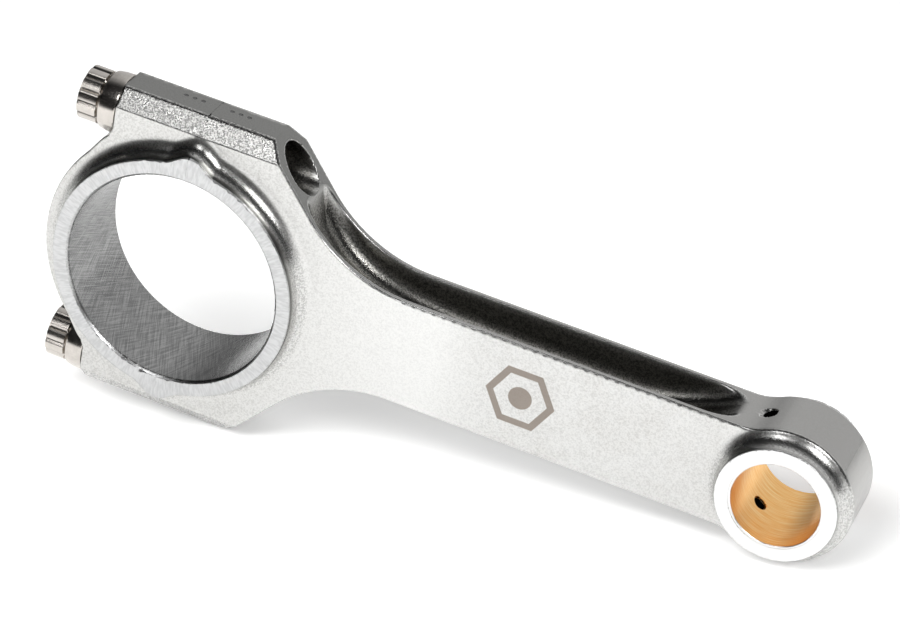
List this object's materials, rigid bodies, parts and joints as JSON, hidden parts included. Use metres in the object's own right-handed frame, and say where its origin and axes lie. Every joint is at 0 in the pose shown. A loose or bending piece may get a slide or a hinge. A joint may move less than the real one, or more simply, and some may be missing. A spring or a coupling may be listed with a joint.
{
  "type": "connecting rod",
  "caption": "Forged H-beam engine connecting rod with a bolted crank-end cap, twelve-point bolts and a bronze pin bushing.",
  "frame": {"origin": "middle of the bounding box's underside, at the height of the crank end's lower side flat", "axes": "+X along the rod from the crank end to the pin end, +Y along both bores, +Z across the beam"},
  "size_m": [0.1938, 0.0244, 0.0776],
  "materials": {
    "forged_steel": "shot-peened forging with ground faces and a honed crank bore",
    "bolt_steel": "warm dark grey, polished heat-treated fastener",
    "dowel_steel": "ground hollow dowel",
    "bushing_bronze": "bored bronze with fine turning marks"
  },
  "bodies": {
    "rod": {"rod_body": "forged_steel", "pin_bushing": "bushing_bronze", "upper_dowel_sleeve": "dowel_steel", "lower_dowel_sleeve": "dowel_steel"},
    "crank_cap": {"cap": "forged_steel"},
    "bolt_upper": {"upper_bolt": "bolt_steel"},
    "bolt_lower": {"lower_bolt": "bolt_steel"}
  },
  "joints": [
    {"name": "cap_lift", "type": "slide", "parent": "rod", "child": "crank_cap", "axis": [-1, 0, 0], "range_m": [0, 0.01905]},
    {"name": "upper_bolt_turn", "type": "hinge", "parent": "crank_cap", "child": "bolt_upper", "pos_m": [-0.08435, 0, 0.0706], "axis": [-1, 0, 0], "range_deg": [0, 6490]},
    {"name": "lower_bolt_turn", "type": "hinge", "parent": "crank_cap", "child": "bolt_lower", "pos_m": [-0.08435, 0, 0.007], "axis": [-1, 0, 0], "range_deg": [0, 6490]}
  ],
  "couplings": [
    {"joint": "upper_bolt_turn", "follows": "cap_lift", "rad_per_m": 5936.9},
    {"joint": "lower_bolt_turn", "follows": "cap_lift", "rad_per_m": 5936.9}
  ]
}
